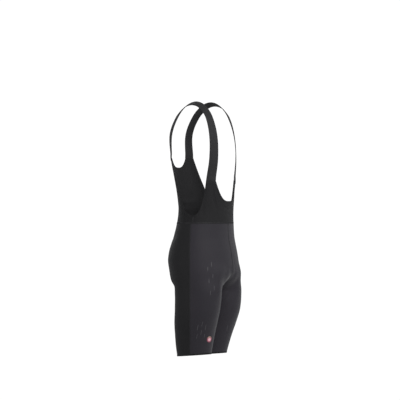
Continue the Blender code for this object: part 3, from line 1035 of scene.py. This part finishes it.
# ---------------------------------------- bib
# A scooped front and a taller back of light, open knit. The free edges are turned in once and
# held by two rows of stitches; flatlock seams join the pieces at the sides and to the legs.
GAP = 0.0003
BIB_FRONT, BIB_BACK = named((
    ("centre_height", "horn_angle", "horn_height", "side_angle", "side_height"),
    (0.548, 44.0, 0.622, 80.0, 0.498),
    (0.668, 29.0, 0.702, 100.0, 0.498),
))
SCOOP_POWER = 3.0
SIDE_POWER = 2.6
STRAP_WIDTH = 0.040
BIB_SPLITS = (34, 14, 28)
BIB_NET = (2 * sum(BIB_SPLITS), 60)
BIB_EDGE_ROWS = 8
BIB_SIDE_SAMPLES = 40
BIB_WALL = 0.0008
BIB_EDGE = 0.0080
BIB_EDGE_WALL = 0.0005
BIB_STITCH_ROWS = (0.0040, 0.0065)
BIB_RADIUS = 0.125
EDGE_TURNS = (-2, 2)
HORN_MARGIN = 0.01

# Creases as on the legs, with the angle from each piece's own middle: 1 is the front, -1 the back.
BIB_FOLDS = (
    FOLD_COLUMNS,
    (1, 41, 0.616, 24, 0.508, 0.004, 0.010, 0.0027),
    (1, -43, 0.612, -29, 0.500, -0.003, 0.009, 0.0022),
    (1, 50, 0.602, 63, 0.488, -0.002, 0.008, 0.0020),
    (1, -52, 0.596, -62, 0.484, 0.003, 0.009, 0.0021),
    (1, -24, 0.532, 30, 0.520, -0.006, 0.007, 0.0013),
    (1, -14, 0.504, 38, 0.498, -0.003, 0.006, 0.0010),
    (-1, 26, 0.694, 15, 0.560, 0.005, 0.010, 0.0025),
    (-1, -28, 0.690, -19, 0.548, -0.004, 0.011, 0.0028),
    (-1, 38, 0.672, 62, 0.530, -0.003, 0.009, 0.0020),
    (-1, -37, 0.664, -58, 0.520, 0.004, 0.009, 0.0021),
    (-1, -46, 0.556, 30, 0.548, -0.008, 0.010, 0.0020),
    (-1, -26, 0.524, 52, 0.530, -0.006, 0.009, 0.0018),
    (-1, -58, 0.498, 10, 0.502, -0.005, 0.007, 0.0013),
)
bib_folds = named(BIB_FOLDS)


def torso_point(angle, height):
    """A point of the figure's torso. The angle runs from the front centre to the wearer's left."""
    torso = row_at(TORSO, height)
    turn = radians(angle)
    x = torso["half_width"] * sin(turn)
    y = torso["centre_y"] - torso["half_depth"] * cos(turn)
    return Vector((x, y, height - SHOULDER_HEIGHT))


def horn_half_angle(bib, raised=0.0):
    """Half the angle that a strap's width covers on the torso, at a bib's horn or above it."""
    torso = row_at(TORSO, bib["horn_height"] + raised)
    turn = radians(bib["horn_angle"])
    reach = hypot(torso["half_width"] * cos(turn), torso["half_depth"] * sin(turn))
    return degrees(STRAP_WIDTH / 2 / reach)


def horn_corners(bib):
    """The angles of a horn's inner and outer corner."""
    half = horn_half_angle(bib)
    return bib["horn_angle"] - half, bib["horn_angle"] + half


def bib_edge(bib, angle):
    """Height of the bib's upper edge at an angle from its centre line."""
    inside, outside = horn_corners(bib)
    angle = abs(angle)
    if angle < inside:
        rise = (angle / inside) ** SCOOP_POWER
        return bib["centre_height"] + (bib["horn_height"] - bib["centre_height"]) * rise
    if angle > outside:
        fall = max(1 - (angle - outside) / (bib["side_angle"] - outside), 0) ** SIDE_POWER
        return bib["side_height"] + (bib["horn_height"] - bib["side_height"]) * fall
    return bib["horn_height"]


def bib_angle(bib, u):
    """The angle at a share of the way across, with lines of the net at each horn's corners."""
    stops = (0, *horn_corners(bib), bib["side_angle"])
    left = abs(2 * u - 1) * sum(BIB_SPLITS)
    for start, end, count in zip(stops, stops[1:], BIB_SPLITS):
        if left <= count:
            break
        left -= count
    angle = start + (end - start) * min(left / count, 1)
    return angle if u > 0.5 else -angle


def edge_depth(bib, angle, width):
    """How far down a line lies that keeps that distance from the bib's upper edge."""
    before, after = (torso_point(angle + turn, bib_edge(bib, angle + turn)) for turn in EDGE_TURNS)
    rise = after.z - before.z
    run = hypot(after.x - before.x, after.y - before.y)
    return width * hypot(1, rise / run)


def bib_skin(bib, facing):
    """The bib's surface by angle and height, with its creases."""
    place = 1 if facing == 0 else -1

    def surface(angle, height):
        depth = pressed(bib_folds, place, angle, height, BIB_RADIUS)
        turn = radians(facing + angle)
        return torso_point(facing + angle, height) - Vector((sin(turn), -cos(turn), 0)) * depth

    return surface


def bib_panel(bib, facing):
    """The surface of the bib front (facing 0) or back (facing 180)."""
    skin = bib_skin(bib, facing)
    low = WAIST_SEAM + GAP / 2
    bend = 1 - BIB_EDGE_ROWS / BIB_NET[1]

    def surface(u, v):
        angle = bib_angle(bib, u)
        top = bib_edge(bib, angle)
        turned = top - edge_depth(bib, angle, BIB_EDGE)
        if v < bend:
            return skin(angle, low + (turned - low) * v / bend)
        return skin(angle, turned + (top - turned) * (v - bend) / (1 - bend))

    return surface


def bib_wall(bib):
    """The cloth's thickness, which is doubled at the free edges."""
    half = horn_half_angle(bib) + HORN_MARGIN

    def wall(u, v):
        free = abs(abs(bib_angle(bib, u)) - bib["horn_angle"]) > half
        turned = v > 1 - (BIB_EDGE_ROWS - 0.5) / BIB_NET[1]
        return BIB_WALL + (BIB_EDGE_WALL if free and turned else 0)

    return wall


def edge_stitches(bib, facing):
    """Two rows of stitches along the bib's free edges."""
    skin = bib_skin(bib, facing)
    inside, outside = horn_corners(bib)
    side = bib["side_angle"]
    runs = []
    for start, end in ((-side, -outside), (-inside, inside), (outside, side)):
        for width in BIB_STITCH_ROWS:
            line = []
            for step in range(SEAM_SAMPLES + 1):
                angle = start + (end - start) * step / SEAM_SAMPLES
                height = bib_edge(bib, angle) - edge_depth(bib, angle, width)
                line.append(above(skin, angle, height, BIB_WALL + BIB_EDGE_WALL, 1))
            runs.append(stitch_row(paced(line, SEAM_PACE), 0, THREAD_RADIUS))
    return thread_along(runs, THREAD_RADIUS)


# The bib's knit takes a deeper painted shade between its stitches.
bib_knit = knit_material(
    "bib_knit", light=(0.0185, 0.0180, 0.0196, 1), dark=(0.0145, 0.0142, 0.0156, 1),
    roughness=0.7, wale=0.0022, course=0.0016, relief=0.0003, sheen=0.08, gap_shade=0.3,
)
bib_pieces = {}
for name, bib, facing in (("bib_front", BIB_FRONT, 0), ("bib_back", BIB_BACK, 180)):
    outwards = Vector((0, -cos(radians(facing)), 0))
    shape = lay_cloth(bib_panel(bib, facing), BIB_NET, bib_wall(bib), outwards)
    bib_pieces[name] = [sew_on(f"{name}_cloth", shape, bib_knit, "bib", name)]
    threads = edge_stitches(bib, facing)
    bib_pieces[name].append(sew_on(f"{name}_stitches", threads, seam_thread, "bib"))

waist = [
    above(torso_point, 180 + 360 * step / SEAM_SAMPLES, WAIST_SEAM, LEG_WALL, 1)
    for step in range(SEAM_SAMPLES + 1)
]
bib_pieces["bib_back"] += sew_seam("waist_seam", waist, "bib")
for word, side in SIDES.items():
    span = (BIB_FRONT["side_height"] - WAIST_SEAM) / BIB_SIDE_SAMPLES
    steps = [WAIST_SEAM + span * step for step in range(BIB_SIDE_SAMPLES + 1)]
    line = [above(torso_point, side * BIB_FRONT["side_angle"], step, LEG_WALL, 1) for step in steps]
    bib_pieces["bib_back"] += sew_seam(f"bib_side_seam_{word}", line, "bib")
for cloth, *others in bib_pieces.values():
    declare_cut(cloth)

# ---------------------------------------- straps
# A flat ribbed elastic goes over each shoulder. Its ends lap the bib's horns and are held there
# by two zigzag rows.
STRAP = (
    ("height", "x", "y", "turn", "slope", "crown"),
    (0.7000, 0.0940, -0.0830, 26.0, 0.0, 0.0014),
    (0.7800, 0.0890, -0.0790, 20.0, 4.0, 0.0010),
    (0.8480, 0.0840, -0.0590, 10.0, 12.0, 0.0008),
    (0.8840, 0.0810, -0.0300, 4.0, 18.0, 0.0008),
    (0.8945, 0.0795, 0.0000, 0.0, 20.0, 0.0008),
    (0.8840, 0.0785, 0.0320, -4.0, 18.0, 0.0008),
    (0.8480, 0.0770, 0.0660, -8.0, 12.0, 0.0008),
    (0.7850, 0.0755, 0.0920, -13.0, 4.0, 0.0008),
)
STRAP_NET = (96, 220)
STRAP_WALL = 0.0013
STRAP_RIB = 0.0025
STRAP_RIB_DEPTH = 0.00015
STRAP_LAP = 0.012
STRAP_LIFT = 0.0009
STRAP_SETTLES = 0.016
STRAP_STITCH_ROWS = (0.003, 0.009)
STRAP_ZIGZAG = 0.001
STRAP_ZIGZAG_STITCHES = 60
STRAP_ZIGZAG_SHARE = 0.92


def horn_row(bib, facing):
    """The strap table's row at a horn on the wearer's left, a seam's gap above the bib."""
    height = bib["horn_height"] + GAP
    half = horn_half_angle(bib, raised=GAP)
    places = [abs(facing - bib["horn_angle"] + offset) for offset in (-half, 0, half)]
    inner, apex, outer = (torso_point(place, height) for place in places)
    middle = (inner + outer) / 2
    across = (outer - inner) if outer.x > inner.x else (inner - outer)
    turn = degrees(atan2(across.y, across.x))
    return (height, middle.x, middle.y, turn, 0.0, (apex - middle).length)


strap_columns, *strap_rows = STRAP
strap_rows = [horn_row(BIB_FRONT, 0), *strap_rows, horn_row(BIB_BACK, 180)]
strap_ways = [0.0]
for one, two in zip(strap_rows, strap_rows[1:]):
    strap_ways.append(strap_ways[-1] + hypot(two[0] - one[0], two[1] - one[1], two[2] - one[2]))
STRAP_LENGTH = strap_ways[-1]
STRAP_STEP = STRAP_LENGTH * 0.004
strap_table = tuple((way, *row) for way, row in zip(["way", *strap_ways], [strap_columns, *strap_rows]))


def strap_centre(side, way):
    """The middle of the strap, that far from the front horn."""
    row = row_at(strap_table, way)
    return Vector((side * row["x"], row["y"], row["height"] - SHOULDER_HEIGHT))


def strap_skin(side):
    """The strap's underside, off being the distance outwards from its middle line."""

    def bare(off, way):
        for bib, facing, past in ((BIB_FRONT, 0, -way), (BIB_BACK, 180, way - STRAP_LENGTH)):
            if past > 0:
                reach = horn_half_angle(bib) * 2 / STRAP_WIDTH
                angle = abs(facing - bib["horn_angle"] - off * reach)
                return torso_point(side * angle, bib["horn_height"] - past)
        row = row_at(strap_table, way)
        turn, slope = radians(row["turn"]), radians(row["slope"])
        later, sooner = min(way + STRAP_STEP, STRAP_LENGTH), max(way - STRAP_STEP, 0)
        ahead = strap_centre(side, later) - strap_centre(side, sooner)
        across = Vector((side * cos(turn) * cos(slope), sin(turn) * cos(slope), -sin(slope)))
        normal = across.cross(ahead.normalized()).normalized() * side
        crown = row["crown"] * (1 - (2 * off / STRAP_WIDTH) ** 2)
        return strap_centre(side, way) + across * off + normal * crown

    def surface(off, way):
        inside = min(way, STRAP_LENGTH - way)
        lift = STRAP_LIFT * (1 - smooth(inside / STRAP_SETTLES))
        return above(bare, off, way, lift, side, step=FEEL_LENGTH)[0]

    return surface


def strap_surface(skin):
    """The whole strap, from the front lap's end to the back lap's end."""
    whole = STRAP_LENGTH + 2 * STRAP_LAP
    return lambda u, v: skin((u - 0.5) * STRAP_WIDTH, whole * v - STRAP_LAP)


def strap_wall(u, _):
    """Ribs along the strap."""
    return STRAP_WALL - STRAP_RIB_DEPTH * cos(2 * pi * (u - 0.5) * STRAP_WIDTH / STRAP_RIB)


strap_elastic = ribbed_material(
    "strap_elastic", colour=(0.0190, 0.0186, 0.0200, 1), groove_shade=(0.0100, 0.0098, 0.0106, 1),
    roughness=0.6, pitch=STRAP_RIB, relief=0.0002,
)
for word, side in SIDES.items():
    skin = strap_skin(side)
    shape = lay_cloth(strap_surface(skin), STRAP_NET, strap_wall, Vector((0, 0, 1)), lengthwise=True)
    strap = sew_on(f"strap_{word}_elastic", shape, strap_elastic, "strap", f"strap_{word}")
    shares = [step / STRAP_ZIGZAG_STITCHES - 0.5 for step in range(STRAP_ZIGZAG_STITCHES + 1)]
    offs = [STRAP_WIDTH * share * STRAP_ZIGZAG_SHARE for share in shares]
    runs = []
    for way in STRAP_STITCH_ROWS:
        for place in (-way, STRAP_LENGTH + way):
            line = [above(skin, off, place, STRAP_WALL, side, step=FEEL_LENGTH) for off in offs]
            runs.append(zigzag(line, STRAP_ZIGZAG, THREAD_RADIUS))
    stitches = sew_on(f"strap_{word}_stitches", thread_along(runs, THREAD_RADIUS), seam_thread, "strap")
    declare_cut(strap)
